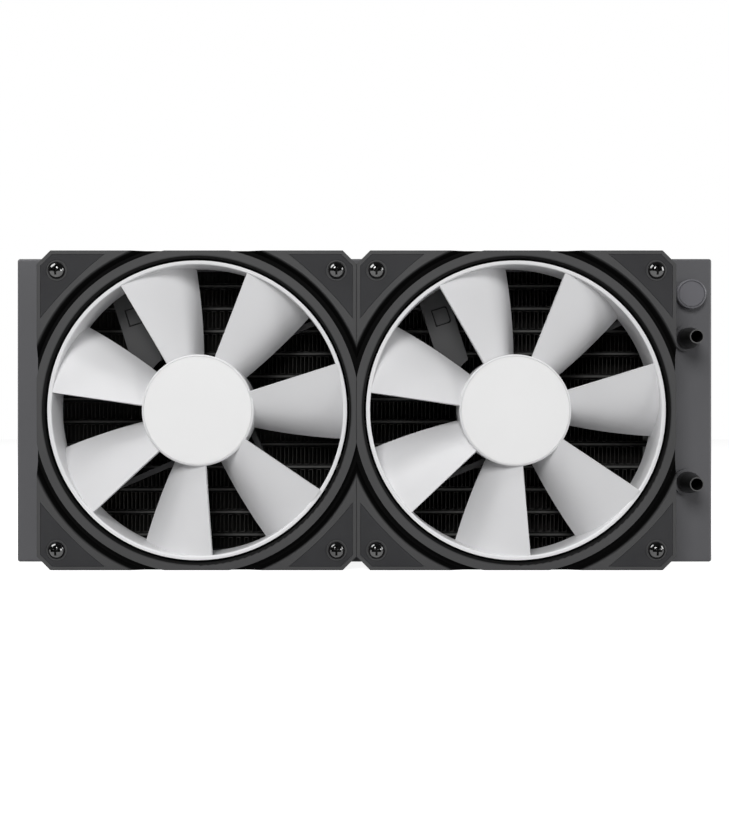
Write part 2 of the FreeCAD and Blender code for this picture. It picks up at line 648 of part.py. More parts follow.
def cover_outline(sketch, growth, start, end):
    """The wide arm's outline, its two ends round arcs about the fan's axis."""
    near = f"(cover_offset - cover_width / 2 - ({growth}))"
    far = f"(cover_offset + cover_width / 2 + ({growth}))"
    outline(sketch, [
        (f"sqrt(({start}) ^ 2 - {near} ^ 2)", near), (f"sqrt(({end}) ^ 2 - {near} ^ 2)", near),
        (f"sqrt(({end}) ^ 2 - {far} ^ 2)", far), (f"sqrt(({start}) ^ 2 - {far} ^ 2)", far)],
        arcs={1: (end, "anticlockwise"), 3: (start, "clockwise")})


def clip_outline(sketch, growth):
    """The clip's face, or with growth its hole or its flange, two corners rounded."""
    near = f"(clip_offset - clip_width / 2 - ({growth}))"
    far = f"(clip_offset + clip_width / 2 + ({growth}))"
    start = f"(clip_along - clip_length / 2 - ({growth}))"
    end = f"(clip_along + clip_length / 2 + ({growth}))"
    outline(sketch, [
        (f"{start} + clip_corner", near), (f"{end} - clip_corner", near), (end, f"{near} + clip_corner"),
        (end, far), (start, far), (start, f"{near} + clip_corner")],
        arcs={1: ("clip_corner", "anticlockwise"), 5: ("clip_corner", "anticlockwise")})


# Direction of each thin arm and the radius it runs out to, the second one only to the wide arm
arm_ends = {
    "arm_turn": "arm_end",
    "arm_turn + 90": "cover_start + cover_wall",
    "arm_turn + 180": "arm_end",
    "arm_turn + 270": "arm_end",
}


def fan_frame(side, centre):
    body = new_body(f"{side}_fan_frame", centre)
    turned(profile(body, [("duct_radius", "0"), ("duct_radius + duct_wall", "0"),
                          ("duct_radius + duct_wall", "fan_depth"), ("duct_radius", "fan_depth")]))
    square_plate(body, "fan_depth", "front_flange", reverse=True)
    square_plate(body, "0", "rear_flange", reverse=False)
    sketch = corner_circles(body, "rear_flange", "column_radius")
    pad(sketch, "fan_depth - front_flange - rear_flange")
    sketch = new_sketch(body, height="rear_flange", turn="45")
    rectangle(sketch, "duct_radius + duct_wall / 2", "-column_rib / 2", "screw_offset * sqrt(2)",
              "column_rib / 2")
    around(pad(sketch, "fan_depth - front_flange - rear_flange"), "4")
    sketch = new_sketch(body, height="fan_depth")
    circle(sketch, "duct_radius")
    bore = pocket(sketch, "fan_depth")
    rounded(bore, "mouth_rounding", lambda edge: all(
        close(v.Z, "fan_depth") and close(math.hypot(v.X, v.Y), "duct_radius") for v in edge.Vertexes))
    turned(profile(body, [
        ("rim_radius", "fan_depth - ring_groove_depth"), ("groove_bottom", "fan_depth - ring_groove_depth"),
        ("groove_top", "fan_depth"), ("groove_top", "fan_depth + ring_groove_depth"),
        ("rim_radius", "fan_depth + ring_groove_depth")]), "Groove")
    for height, reverse in (("fan_depth", False), ("0", True)):
        around(pocket(pad_sketch(body, height, "pad_gap", "boss_radius"), "pad_depth", reverse), "4")
    pocket(corner_circles(body, "fan_depth", "seat_radius"), "seat_depth")
    pocket(corner_circles(body, "fan_depth", "screw_hole"), "fan_depth")
    sketch = new_sketch(body, height="arm_foot", turn="cover_turn")
    cover_outline(sketch, "0", "cover_start", "arm_end")
    pad(sketch, "arm_top - arm_foot")
    sketch = new_sketch(body, height="arm_foot", turn="cover_turn")
    cover_outline(sketch, "-cover_side", "cover_start - cover_side", "duct_radius")
    pocket(sketch, "arm_top - arm_foot - cover_wall", reverse=True)
    sketch = new_sketch(body, height="arm_top", turn="cover_turn")
    clip_outline(sketch, "clip_gap")
    pocket(sketch, "cover_wall")
    turned(profile(body, [
        ("0", "base_front - base_thickness"), ("base_radius - base_rim", "base_front - base_thickness"),
        ("base_radius - base_rim", "arm_foot"), ("base_radius", "arm_foot"), ("base_radius", "base_front"),
        ("bearing_tube", "base_front"), ("bearing_tube", "bearing_front"),
        ("bearing_bore", "bearing_front"), ("bearing_bore", "bearing_floor"),
        ("0", "bearing_floor")]))
    for turn, end in arm_ends.items():
        sketch = new_sketch(body, height="arm_foot", turn=turn)
        rectangle(sketch, "sqrt(arm_root ^ 2 - arm_offset ^ 2)", "arm_offset - arm_width / 2",
                  f"sqrt(({end}) ^ 2 - arm_offset ^ 2)", "arm_offset + arm_width / 2")
        pad(sketch, "arm_top - arm_foot")


def corner_pads(side, centre):
    for end, height in (("front", "fan_depth - pad_depth"), ("rear", "0")):
        body = new_body(f"{side}_{end}_pads", centre)
        around(pad(pad_sketch(body, height, "0", "boss_radius + pad_gap"), "pad_depth"), "4")


def cable_clip(side, centre):
    """A square clip that snaps into the wide arm from behind, its face flush with the arm's."""
    body = new_body(f"{side}_cable_clip", centre)
    sketch = new_sketch(body, height="arm_top", turn="cover_turn")
    clip_outline(sketch, "0")
    pad(sketch, "cover_wall + clip_flange_height / 2", reverse=True)
    sketch = new_sketch(body, height="arm_top - cover_wall", turn="cover_turn")
    clip_outline(sketch, "clip_gap + clip_flange")
    pad(sketch, "clip_flange_height", reverse=True)


# Motor's still pieces: sleeve, core, coils and board, all round the frame's bearing tube
def stator(side, centre):
    body = new_body(f"{side}_bearing_sleeve", centre)
    turned(profile(body, [
        ("shaft_radius + shaft_clearance", "sleeve_back"), ("bearing_bore - seat_play", "sleeve_back"),
        ("bearing_bore - seat_play", "bearing_front - sleeve_recess"),
        ("shaft_radius + shaft_clearance", "bearing_front - sleeve_recess")]))

    body = new_body(f"{side}_stator_core", centre)
    sketch = new_sketch(body, height="core_back")
    circle(sketch, "core_outer")
    circle(sketch, "core_outer - pole_shoe")
    pad(sketch, "core_front - core_back")
    sketch = new_sketch(body, height="core_back", turn="45")
    rectangle(sketch, "core_outer - 2 * pole_shoe", "-pole_slot / 2", "core_outer + pole_shoe",
              "pole_slot / 2")
    around(pocket(sketch, "core_front - core_back", reverse=True), "pole_count")
    sketch = new_sketch(body, height="core_back")
    circle(sketch, "core_bore + core_hub")
    circle(sketch, "core_bore")
    pad(sketch, "core_front - core_back")
    sketch = new_sketch(body, height="core_back")
    rectangle(sketch, "core_bore + core_hub / 2", "-pole_neck / 2", "core_outer - pole_shoe / 2",
              "pole_neck / 2")
    around(pad(sketch, "core_front - core_back"), "pole_count")

    body = new_body(f"{side}_stator_coils", centre)
    sketch = new_sketch(body, "YZ_Plane", "coil_start")
    rectangle(sketch, "-coil_side", "core_back - coil_gap - coil_thickness", "coil_side",
              "core_front + coil_gap + coil_thickness")
    rectangle(sketch, "coil_thickness - coil_side", "core_back - coil_gap", "coil_side - coil_thickness",
              "core_front + coil_gap")
    around(pad(sketch, "coil_end - coil_start"), "pole_count")

    body = new_body(f"{side}_circuit_board", centre)
    sketch = new_sketch(body, height="base_front")
    circle(sketch, "board_radius")
    circle(sketch, "bearing_tube + board_gap")
    pad(sketch, "board_thickness")


# Impeller: hub, blades and outer ring, each drawn up to the face where it grows into the next
def bend_radius(place):
    """The radius that gives a section's curve its rise, from edge to edge."""
    run = f"({place}_lead + {place}_trail)"
    fall = f"(fan_depth - {place}_depth - {place}_back)"
    return f"(({run} ^ 2 + {fall} ^ 2) / (8 * {place}_bend) + {place}_bend / 2)"


def blade_section(body, place):
    """The blade's section at one distance from the axis: a curved plate that falls to its trailing edge."""
    sketch = new_sketch(body, "YZ_Plane", f"{place}_station")
    lead, trail = f"{place}_lead", f"-{place}_trail"
    front, back = f"fan_depth - {place}_depth", f"{place}_back"
    curve = bend_radius(place)
    outline(sketch, [(lead, front), (trail, back), (trail, f"{back} - blade_thickness"),
                     (lead, f"{front} - blade_thickness")],
            arcs={0: (curve, "anticlockwise"), 2: (curve, "clockwise")})
    return sketch


def impeller(side, centre):
    body = new_body(f"{side}_impeller_hub", centre)
    turned(profile(body, [
        ("0", "cap_seat"), ("cap_radius", "cap_seat"), ("cap_radius", "hub_front"),
        ("hub_radius - hub_edge", "hub_front"), ("hub_radius", "hub_front - hub_edge"),
        ("hub_radius", "skirt_end"), ("cup_radius", "skirt_end"), ("cup_radius", "cup_top"),
        ("hub_boss", "cup_top"), ("hub_boss", "boss_end"), ("shaft_bore", "boss_end"),
        ("shaft_bore", "shaft_front"), ("0", "shaft_front")]))

    body = new_body(f"{side}_impeller_blades", centre, turn="blade_phase")
    sections = [blade_section(body, place) for place in ("root", "middle", "tip")]
    blade = feature("AdditiveLoft", sections[0])
    blade.Sections = [(section, [""]) for section in sections[1:]]
    around(blade, "blade_count")
    for inner, outer in (("0", "hub_radius"), ("ring_inner", "fan_width")):
        turned(profile(body, [(inner, "0"), (outer, "0"), (outer, "fan_depth"), (inner, "fan_depth")]),
               "Groove")

    body = new_body(f"{side}_impeller_ring", centre)
    turned(profile(body, [
        ("ring_inner", "ring_back"), ("ring_radius", "ring_back"), ("ring_radius", "ring_front"),
        ("ring_inner", "ring_front")]))


# Rotor: cap, steel cup, ring magnet, shaft and the clip that keeps the shaft in its bearing
def rotor(side, centre):
    body = new_body(f"{side}_hub_cap", centre)
    sketch = new_sketch(body, height="hub_front")
    circle(sketch, "cap_radius - cap_gap")
    pad(sketch, "cap_thickness", reverse=True)

    body = new_body(f"{side}_rotor_yoke", centre)
    turned(profile(body, [
        ("yoke_outer - yoke_wall", "yoke_end"), ("yoke_outer", "yoke_end"), ("yoke_outer", "cup_top"),
        ("yoke_hole", "cup_top"), ("yoke_hole", "cup_top - yoke_wall"),
        ("yoke_outer - yoke_wall", "cup_top - yoke_wall")]))

    body = new_body(f"{side}_ring_magnet", centre)
    turned(profile(body, [
        ("magnet_inner", "magnet_end"), ("magnet_outer", "magnet_end"), ("magnet_outer", "magnet_top"),
        ("magnet_inner", "magnet_top")]))

    body = new_body(f"{side}_rotor_shaft", centre)
    turned(profile(body, [
        ("0", "shaft_end"), ("shaft_radius", "shaft_end"), ("shaft_radius", "retainer_back"),
        ("shaft_neck", "retainer_back"), ("shaft_neck", "retainer_front"), ("shaft_radius", "retainer_front"),
        ("shaft_radius", "shaft_front"), ("0", "shaft_front")]))

    body = new_body(f"{side}_retaining_clip", centre)
    turned(profile(body, [
        ("shaft_neck + seat_play", "retainer_back"), ("retainer_radius", "retainer_back"),
        ("retainer_radius", "retainer_front"), ("shaft_neck + seat_play", "retainer_front")]))


# Fan screws: domed cross-head screws through the frame's corners into the side plates' collars
def fan_screws(side, centre):
    body = new_body(f"{side}_fan_screws", centre)
    sketch = new_sketch(body, "XZ_Plane", "-screw_offset")
    sketch.setExpression("AttachmentOffset.Base.x", formula("screw_offset"))
    outline(sketch, [
        ("0", "screw_tip"), ("screw_shank - screw_point", "screw_tip"),
        ("screw_shank", "screw_tip + screw_point"), ("screw_shank", "screw_seat"),
        ("head_radius", "screw_seat"), ("head_radius", "screw_seat + head_side"),
        ("head_crown", "head_top"), ("0", "head_top")],
        arcs={5: ("head_dome", "anticlockwise")})
    around(turned(sketch), "4")
    sketch = new_sketch(body, height="head_top")
    sketch.setExpression("AttachmentOffset.Base.x", formula("screw_offset"))
    sketch.setExpression("AttachmentOffset.Base.y", formula("screw_offset"))
    end, side_face = "cross_length / 2", "cross_width / 2"
    outline(sketch, [
        (end, f"-{side_face}"), (end, side_face), (side_face, side_face), (side_face, end),
        (f"-{side_face}", end), (f"-{side_face}", side_face), (f"-{end}", side_face),
        (f"-{end}", f"-{side_face}"), (f"-{side_face}", f"-{side_face}"), (f"-{side_face}", f"-{end}"),
        (side_face, f"-{end}"), (side_face, f"-{side_face}")])
    around(pocket(sketch, "cross_depth"), "4")


for side, centre in (("left", "left_fan"), ("right", "right_fan")):
    fan_frame(side, centre)
    corner_pads(side, centre)
    cable_clip(side, centre)
    stator(side, centre)
    impeller(side, centre)
    rotor(side, centre)
    fan_screws(side, centre)

doc.recompute()
broken = [item.Label for item in doc.Objects if {"Invalid", "Error"} & set(item.State)]
if broken:
    raise RuntimeError(f"these features can't be built: {', '.join(broken)}")
os.makedirs("parts", exist_ok=True)
for item in doc.Objects:
    if item.isDerivedFrom("PartDesign::Body") or item == fins:
        if item.Shape.isNull() or not item.Shape.isValid():
            raise RuntimeError(f"{item.Label} has no sound shape")
        item.Shape.exportStep(f"parts/{item.Label}.step")
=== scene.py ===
import math

import bmesh
import bpy
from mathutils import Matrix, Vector


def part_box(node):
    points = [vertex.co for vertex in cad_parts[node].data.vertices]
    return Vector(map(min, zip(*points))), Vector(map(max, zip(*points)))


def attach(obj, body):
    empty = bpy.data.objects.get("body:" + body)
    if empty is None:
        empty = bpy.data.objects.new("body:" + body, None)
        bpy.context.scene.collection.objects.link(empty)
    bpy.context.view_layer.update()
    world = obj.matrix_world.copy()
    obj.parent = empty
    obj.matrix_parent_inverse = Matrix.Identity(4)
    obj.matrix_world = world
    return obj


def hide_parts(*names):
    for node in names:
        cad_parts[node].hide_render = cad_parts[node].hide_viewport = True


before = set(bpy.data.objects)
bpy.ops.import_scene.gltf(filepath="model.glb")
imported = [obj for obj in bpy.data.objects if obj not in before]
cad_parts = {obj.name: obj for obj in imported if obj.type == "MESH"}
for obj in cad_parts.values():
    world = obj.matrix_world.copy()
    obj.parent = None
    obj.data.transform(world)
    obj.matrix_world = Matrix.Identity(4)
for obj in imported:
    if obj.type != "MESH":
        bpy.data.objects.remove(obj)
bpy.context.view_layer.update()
bpy.context.scene.view_settings.view_transform = "Standard"

# Viewpoint: straight in front of the two fans, level with their axes, from about half a metre away, so
# the frames' front flanges hide the radiator's top and bottom edges.
camera = bpy.data.objects.new("camera", bpy.data.cameras.new("camera"))
bpy.context.scene.collection.objects.link(camera)
bpy.context.scene.camera = camera
camera.location = (0, -0.475, 0.06)
camera.rotation_euler = (math.pi / 2, 0, 0)
camera.data.sensor_width = 36
camera.data.lens = 52.68
camera.data.shift_y = 0.0004
camera.data.clip_start = 0.01
camera.data.clip_end = 50


# End tanks and header plates: folded and brazed aluminium sheet under one thin coat of charcoal paint,
# sprayed on after brazing. The coat is satin, with a faint orange-peel skin and a fine dry grain.
def new_finish(name):
    """An empty finish: the finish itself, its nodes, its links and its shader."""
    finish = bpy.data.materials.new(name)
    finish.use_nodes = True
    tree = finish.node_tree
    return finish, tree.nodes, tree.links, tree.nodes["Principled BSDF"]


def grain_of(nodes, links, scale, detail=4.0, stretch=None):
    """A noise pattern fixed to the object; a stretch draws it out along one or two axes."""
    place = nodes.new("ShaderNodeTexCoord")
    noise = nodes.new("ShaderNodeTexNoise")
    noise.inputs["Scale"].default_value = scale
    noise.inputs["Detail"].default_value = detail
    source = place.outputs["Object"]
    if stretch:
        drawn = nodes.new("ShaderNodeMapping")
        drawn.inputs["Scale"].default_value = stretch
        links.new(source, drawn.inputs["Vector"])
        source = drawn.outputs["Vector"]
    links.new(source, noise.inputs["Vector"])
    return noise.outputs["Fac"]


def colour_by(nodes, links, shader, pattern, dark, light, low=0.3, high=0.7):
    """The base colour runs from dark to light as the pattern rises from low to high."""
    ramp = nodes.new("ShaderNodeValToRGB")
    ramp.color_ramp.elements[0].position = low
    ramp.color_ramp.elements[1].position = high
    ramp.color_ramp.elements[0].color = (*dark, 1)
    ramp.color_ramp.elements[1].color = (*light, 1)
    links.new(pattern, ramp.inputs["Fac"])
    links.new(ramp.outputs["Color"], shader.inputs["Base Color"])


def roughness_by(nodes, links, shader, pattern, smooth, rough):
    """The roughness follows the pattern."""
    spread = nodes.new("ShaderNodeMapRange")
    spread.inputs["From Min"].default_value = 0.25
    spread.inputs["From Max"].default_value = 0.75
    spread.inputs["To Min"].default_value = smooth
    spread.inputs["To Max"].default_value = rough
    links.new(pattern, spread.inputs["Value"])
    links.new(spread.outputs["Result"], shader.inputs["Roughness"])


def raised_by(nodes, links, shader, pattern, depth, under=None):
    """The surface rises with the pattern by a depth in metres, on top of another bump or none."""
    bump = nodes.new("ShaderNodeBump")
    bump.inputs["Strength"].default_value = 0.5
    bump.inputs["Distance"].default_value = depth
    links.new(pattern, bump.inputs["Height"])
    if under:
        links.new(under.outputs["Normal"], bump.inputs["Normal"])
    links.new(bump.outputs["Normal"], shader.inputs["Normal"])
    return bump


def sprayed_coat(name, dark, light, gloss, specular=0.3):
    """Sprayed paint: faint clouds in the colour, an orange-peel skin and a dry grain."""
    finish, nodes, links, shader = new_finish(name)
    clouds = grain_of(nodes, links, 14, 3)
    peel = grain_of(nodes, links, 900, 2)
    dust = grain_of(nodes, links, 5200, 2)
    colour_by(nodes, links, shader, clouds, dark, light)
    roughness_by(nodes, links, shader, dust, gloss, gloss + 0.14)
    skin = raised_by(nodes, links, shader, peel, 0.00005)
    raised_by(nodes, links, shader, dust, 0.000015, skin)
    shader.inputs["Specular IOR Level"].default_value = specular
    return finish


def dress(finish, *names):
    """CAD nodes as they are, each with one finish all over."""
    for name in names:
        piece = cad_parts[name]
        piece.data.materials.clear()
        piece.data.materials.append(finish)


radiator_coat = sprayed_coat("radiator_coat", (0.08, 0.08, 0.085), (0.098, 0.098, 0.104), 0.42)
dress(radiator_coat, "left_end_tank", "right_end_tank", "left_header_plate", "right_header_plate")

# Side plates: one channel of thin sheet along the top of the core and one along the bottom, with round
# tapped tabs for the screws, under the same paint as the tanks.
dress(radiator_coat, "top_side_plate", "bottom_side_plate")

# Coolant tubes: twelve flat tubes between the tanks, brazed into the slots of the header plates. The
# core gets only a thin black dip, so that the paint doesn't choke the air channels.
tubes_low, tubes_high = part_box("coolant_tubes")
# Painted shade: a little behind their front edges the tubes darken to near-black, on top of the black dip.
shade_start, shade_end = 0.00003, 0.00012


def fading_finish(name, dark, light, shade_colour, start, end, grain, specular):
    """A finish that is dark to light up to the start, a place in Y, and darkens to one colour of painted
    shade from the end on.
    """
    finish, nodes, links, shader = new_finish(name)
    tones = nodes.new("ShaderNodeValToRGB")
    tones.color_ramp.elements[0].color = (*dark, 1)
    tones.color_ramp.elements[1].color = (*light, 1)
    links.new(grain_of(nodes, links, 300, 3), tones.inputs["Fac"])
    place = nodes.new("ShaderNodeTexCoord")
    depth = nodes.new("ShaderNodeSeparateXYZ")
    links.new(place.outputs["Object"], depth.inputs["Vector"])
    behind = nodes.new("ShaderNodeMapRange")
    behind.interpolation_type = "SMOOTHSTEP"
    behind.inputs["From Min"].default_value = start
    behind.inputs["From Max"].default_value = end
    links.new(depth.outputs["Y"], behind.inputs["Value"])
    fading = nodes.new("ShaderNodeMix")
    fading.data_type = "RGBA"
    fading.inputs["B"].default_value = (*shade_colour, 1)
    links.new(behind.outputs["Result"], fading.inputs["Factor"])
    links.new(tones.outputs["Color"], fading.inputs["A"])
    links.new(fading.outputs["Result"], shader.inputs["Base Color"])
    texture = grain_of(nodes, links, grain, 2)
    roughness_by(nodes, links, shader, texture, 0.5, 0.62)
    raised_by(nodes, links, shader, texture, 0.00004)
    shader.inputs["Specular IOR Level"].default_value = specular
    return finish


core_dip_and_shade = fading_finish("core_dip_and_shade", (0.055, 0.055, 0.053), (0.08, 0.08, 0.077), (0.008, 0.008, 0.008),
                         tubes_low[1] + shade_start, tubes_low[1] + shade_end, 1600, 0.15)
dress(core_dip_and_shade, "coolant_tubes")

# Fin strips: thirteen strips of thin foil folded into tight loops between the tubes, brazed at every
# loop and dipped black with them. The walls wave from front to back, so no light comes straight through.
core_low, core_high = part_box("fin_strips")
tube_count = 12
half_tube = 0.001
tube_pitch = (tubes_high[2] - tubes_low[2] - 2 * half_tube) / (tube_count - 1)
tube_middles = [tubes_low[2] + half_tube + step * tube_pitch for step in range(tube_count)]
strip_bottoms = [core_low[2]] + [middle + half_tube for middle in tube_middles]
strip_tops = [middle - half_tube for middle in tube_middles] + [core_high[2]]
# Each strip stays this much short at both ends, so that its waves clear the header plates
end_room = 0.001
loops = 72
loop_pitch = (core_high[0] - core_low[0] - 2 * end_room) / loops
foil = 0.00012
bend = 0.00015
# How far a wall waves sideways at its front edge, at two places inside, and at its back edge
wall_shift = (0, 0.0013, -0.0013, 0)
# One loop in eight columns: its place along the loop, the tube that it lies on (-1 the lower, 1 the
# upper), and the height taken off for a bend
loop_columns = ((0, -1, bend), (0, 1, bend), (0.05, 1, 0), (0.45, 1, 0),
                (0.5, 1, bend), (0.5, -1, bend), (0.55, -1, 0), (0.95, -1, 0))
columns, rows = loops * len(loop_columns), len(wall_shift) - 1


def new_piece(name, mesh, finishes, node, body, sharp=None):
    """A piece made from a mesh, which takes a CAD node's place on one body, with the finishes given.

    Where an angle is given as sharp, the edges from that angle on stay sharp and the rest are shaded round.
    """
    if sharp:
        mesh.normal_update()
        for face in mesh.faces:
            face.smooth = True
        for edge in mesh.edges:
            edge.smooth = len(edge.link_faces) == 2 and edge.calc_face_angle() < math.radians(sharp)
    data = bpy.data.meshes.new(name)
    mesh.to_mesh(data)
    mesh.free()
    # The normals that a CAD mesh brings along no longer fit once it is merged
    if "custom_normal" in data.attributes:
        data.attributes.remove(data.attributes["custom_normal"])
    for finish in finishes:
        data.materials.append(finish)
    piece = bpy.data.objects.new(name, data)
    bpy.context.scene.collection.objects.link(piece)
    if sharp:
        even = piece.modifiers.new("even shading", "WEIGHTED_NORMAL")
        even.keep_sharp = True
    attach(piece, body)
    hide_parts(node)


fin_mesh = bmesh.new()
for bottom, top in zip(strip_bottoms, strip_tops):
    made = bmesh.ops.create_grid(fin_mesh, x_segments=columns, y_segments=rows, size=1)["verts"]
    middle, reach = (bottom + top) / 2, (top - bottom) / 2 - foil / 2
    for point in made:
        column = round((point.co.x + 1) / 2 * columns)
        row = round((point.co.y + 1) / 2 * rows)
        along, tube, lower = loop_columns[column % len(loop_columns)]
        loop = column // len(loop_columns)
        point.co.x = core_low[0] + end_room + (loop + along) * loop_pitch + wall_shift[row]
        point.co.y = core_low[1] + (core_high[1] - core_low[1]) * row / rows
        point.co.z = middle + tube * (reach - lower)
bmesh.ops.recalc_face_normals(fin_mesh, faces=fin_mesh.faces)
bmesh.ops.solidify(fin_mesh, geom=fin_mesh.faces[:], thickness=foil)
fin_dip = sprayed_coat("fin_dip", (0.04, 0.039, 0.037), (0.058, 0.057, 0.054), 0.6, 0.08)
new_piece("folded_fins", fin_mesh, [fin_dip], "fin_strips", "radiator")

# Fill plug: a low round turned plug with one fine line round its face, screwed into the right tank where
# the coolant was filled in. It is painted like the tank, in a slightly lighter grey.
plug_coat = sprayed_coat("plug_coat", (0.112, 0.111, 0.122), (0.128, 0.127, 0.139), 0.4)
dress(plug_coat, "fill_plug")


# Seals: thin rings of moulded black rubber under the fill plug and the two hose fittings, pressed
# against the tank as these are screwed in. The rubber is matt and a little dusty.
def rubber(name, dark, light):
    """Matt rubber with a fine closed grain."""
    finish, nodes, links, shader = new_finish(name)
    clouds = grain_of(nodes, links, 60, 4)
    pores = grain_of(nodes, links, 3800, 3)
    colour_by(nodes, links, shader, clouds, dark, light)
    roughness_by(nodes, links, shader, pores, 0.68, 0.85)
    raised_by(nodes, links, shader, pores, 0.00004)
    shader.inputs["Specular IOR Level"].default_value = 0.15
    return finish


seal_rubber = rubber("seal_rubber", (0.01, 0.01, 0.01), (0.016, 0.016, 0.016))
dress(seal_rubber, "fill_plug_seal", "inlet_seal", "outlet_seal")

# Hose fittings: black plastic stubs moulded with a straight land for the hose's clamp and a tapered tip,
# screwed into the right tank. The round collar wears the tank's paint, and the tip's front-facing rim is
# coloured grey as a painted highlight.
collar_front = -0.0016
rim_depth = 0.0003
# Two places nearer to each other than this count as one
touching = 0.00001


def moulded_plastic(name, dark, light, gloss, grain, depth, specular=0.4):
    """Moulded plastic: faint flow clouds, and the fine even texture of its mould."""
    finish, nodes, links, shader = new_finish(name)
    flow = grain_of(nodes, links, 30, 2)
    texture = grain_of(nodes, links, grain, 2)
    colour_by(nodes, links, shader, flow, dark, light)
    roughness_by(nodes, links, shader, texture, gloss, gloss + 0.12)
    raised_by(nodes, links, shader, texture, depth)
    shader.inputs["Specular IOR Level"].default_value = specular
    return finish


def copy_of(node):
    """A merged copy of one CAD node's mesh."""
    mesh = bmesh.new()
    mesh.from_mesh(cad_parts[node].data)
    bmesh.ops.remove_doubles(mesh, verts=mesh.verts, dist=0.000001)
    return mesh


fitting_plastic = moulded_plastic("fitting_plastic", (0.006, 0.006, 0.006), (0.009, 0.009, 0.009),
                                  0.3, 2500, 0.00001)
rim_highlight = moulded_plastic("rim_highlight", (0.07, 0.07, 0.07), (0.1, 0.1, 0.1), 0.4, 2500, 0.00001)
fitting_finishes = [fitting_plastic, radiator_coat, rim_highlight]
for name in ("inlet", "outlet"):
    mesh = copy_of(f"{name}_fitting")
    tip_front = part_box(f"{name}_fitting")[0][1]
    for face in mesh.faces:
        nearest = min(point.co.y for point in face.verts)
        if nearest > collar_front - touching:
            face.material_index = fitting_finishes.index(radiator_coat)
        # Painted highlight: the front-facing rim of the tip is coloured grey.
        elif face.normal.y < -0.9 and nearest < tip_front + rim_depth:
            face.material_index = fitting_finishes.index(rim_highlight)
    new_piece(f"{name}_stub", mesh, fitting_finishes, f"{name}_fitting", "radiator", 30)

# Fan frames: glass-filled plastic, moulded in one piece with duct, flanges, screw columns, arms and motor
# base, with slightly rounded outer edges. The mould's grain leaves them matt charcoal. Painted shade darkens
# them to black inside the mouth and the groove, on the rounded outer edges and in the gap round the cable
# clip, and the arms are painted a little lighter as painted light. The cable clip is a separate small
# moulding, darkened behind its front as painted shade.
fan_axes = {}
for side in ("left", "right"):
    frame_low, frame_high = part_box(f"{side}_fan_frame")
    fan_axes[side] = (frame_low[0] + frame_high[0]) / 2
front_face = frame_low[1]
axis_height = (frame_low[2] + frame_high[2]) / 2
half_width = (frame_high[0] - frame_low[0]) / 2
edge_round = 0.0002
bore_radius = 0.0573
mouth_rounding = 0.0014
mouth_fade = 0.00016
groove_inner, groove_outer = 0.0611, 0.0651
groove_depth = 0.0022
groove_fade = 0.0008
arms_front = -0.0062
clip_gap = 0.0005
clip_rise = 0.0001
clip_fade = 0.0003
charcoal_plastic = moulded_plastic("charcoal_plastic", (0.052, 0.052, 0.053), (0.06, 0.06, 0.061),
                                   0.5, 3200, 0.00004, 0.2)
mouth_painted_shade = fading_finish("mouth_painted_shade", (0.052, 0.052, 0.053), (0.06, 0.06, 0.061),
                            (0.003, 0.003, 0.003), front_face, front_face + mouth_fade, 3200, 0.08)
groove_painted_shade = fading_finish("groove_painted_shade", (0.05, 0.05, 0.051), (0.058, 0.058, 0.059),
                             (0.002, 0.002, 0.002), front_face, front_face + groove_fade, 3200, 0.03)
# Painted light: the arms are coloured a little lighter than the rest of the frame, where the blades shade
# them.
arm_plastic_lightened = moulded_plastic("arm_plastic_lightened", (0.055, 0.055, 0.056), (0.064, 0.064, 0.065),
                              0.5, 3200, 0.00004, 0.2)
frame_finishes = [charcoal_plastic, mouth_painted_shade, groove_painted_shade, arm_plastic_lightened]


def finish_of_face(face, axis, clip_low, clip_high):
    """The finish that one face of a fan frame has, by where it is."""
    middle = face.calc_center_median()
    across, up = middle.x - axis, middle.z - axis_height
    radius = math.hypot(across, up)
    looks_inwards = (face.normal.x * across + face.normal.z * up) / radius < 0.1
    facing_front = face.normal.y < -0.9999
    beside_clip = (clip_low[0] - clip_gap < middle.x < clip_high[0] + clip_gap
                   and clip_low[2] - clip_gap < middle.z < clip_high[2] + clip_gap)
    if facing_front and middle.y < front_face + touching:
        return charcoal_plastic
    # Painted shade: the groove round the duct darkens to black behind the front face.
    if groove_inner < radius < groove_outer and middle.y < front_face + groove_depth:
        return groove_painted_shade
    # Painted shade: faces in the gap round the cable clip are darkened to black.
    if beside_clip and middle.y > clip_low[1] + clip_rise and not facing_front:
        return groove_painted_shade
    # Painted shade: the inside of the mouth darkens to black behind the front face.
    if radius < bore_radius + mouth_rounding and middle.y < arms_front and looks_inwards:
        return mouth_painted_shade
    if radius < bore_radius and middle.y > arms_front:
        return arm_plastic_lightened
    return charcoal_plastic


def on_outline(edge, axis):
    """Whether an edge lies in the front face, on one of the four sides of the frame's outline."""
    at_front = all(abs(point.co.y - front_face) < touching for point in edge.verts)
    at_end = all(abs(abs(point.co.x - axis) - half_width) < touching for point in edge.verts)
    at_top = all(abs(abs(point.co.z - axis_height) - half_width) < touching for point in edge.verts)
    return at_front and (at_end or at_top)


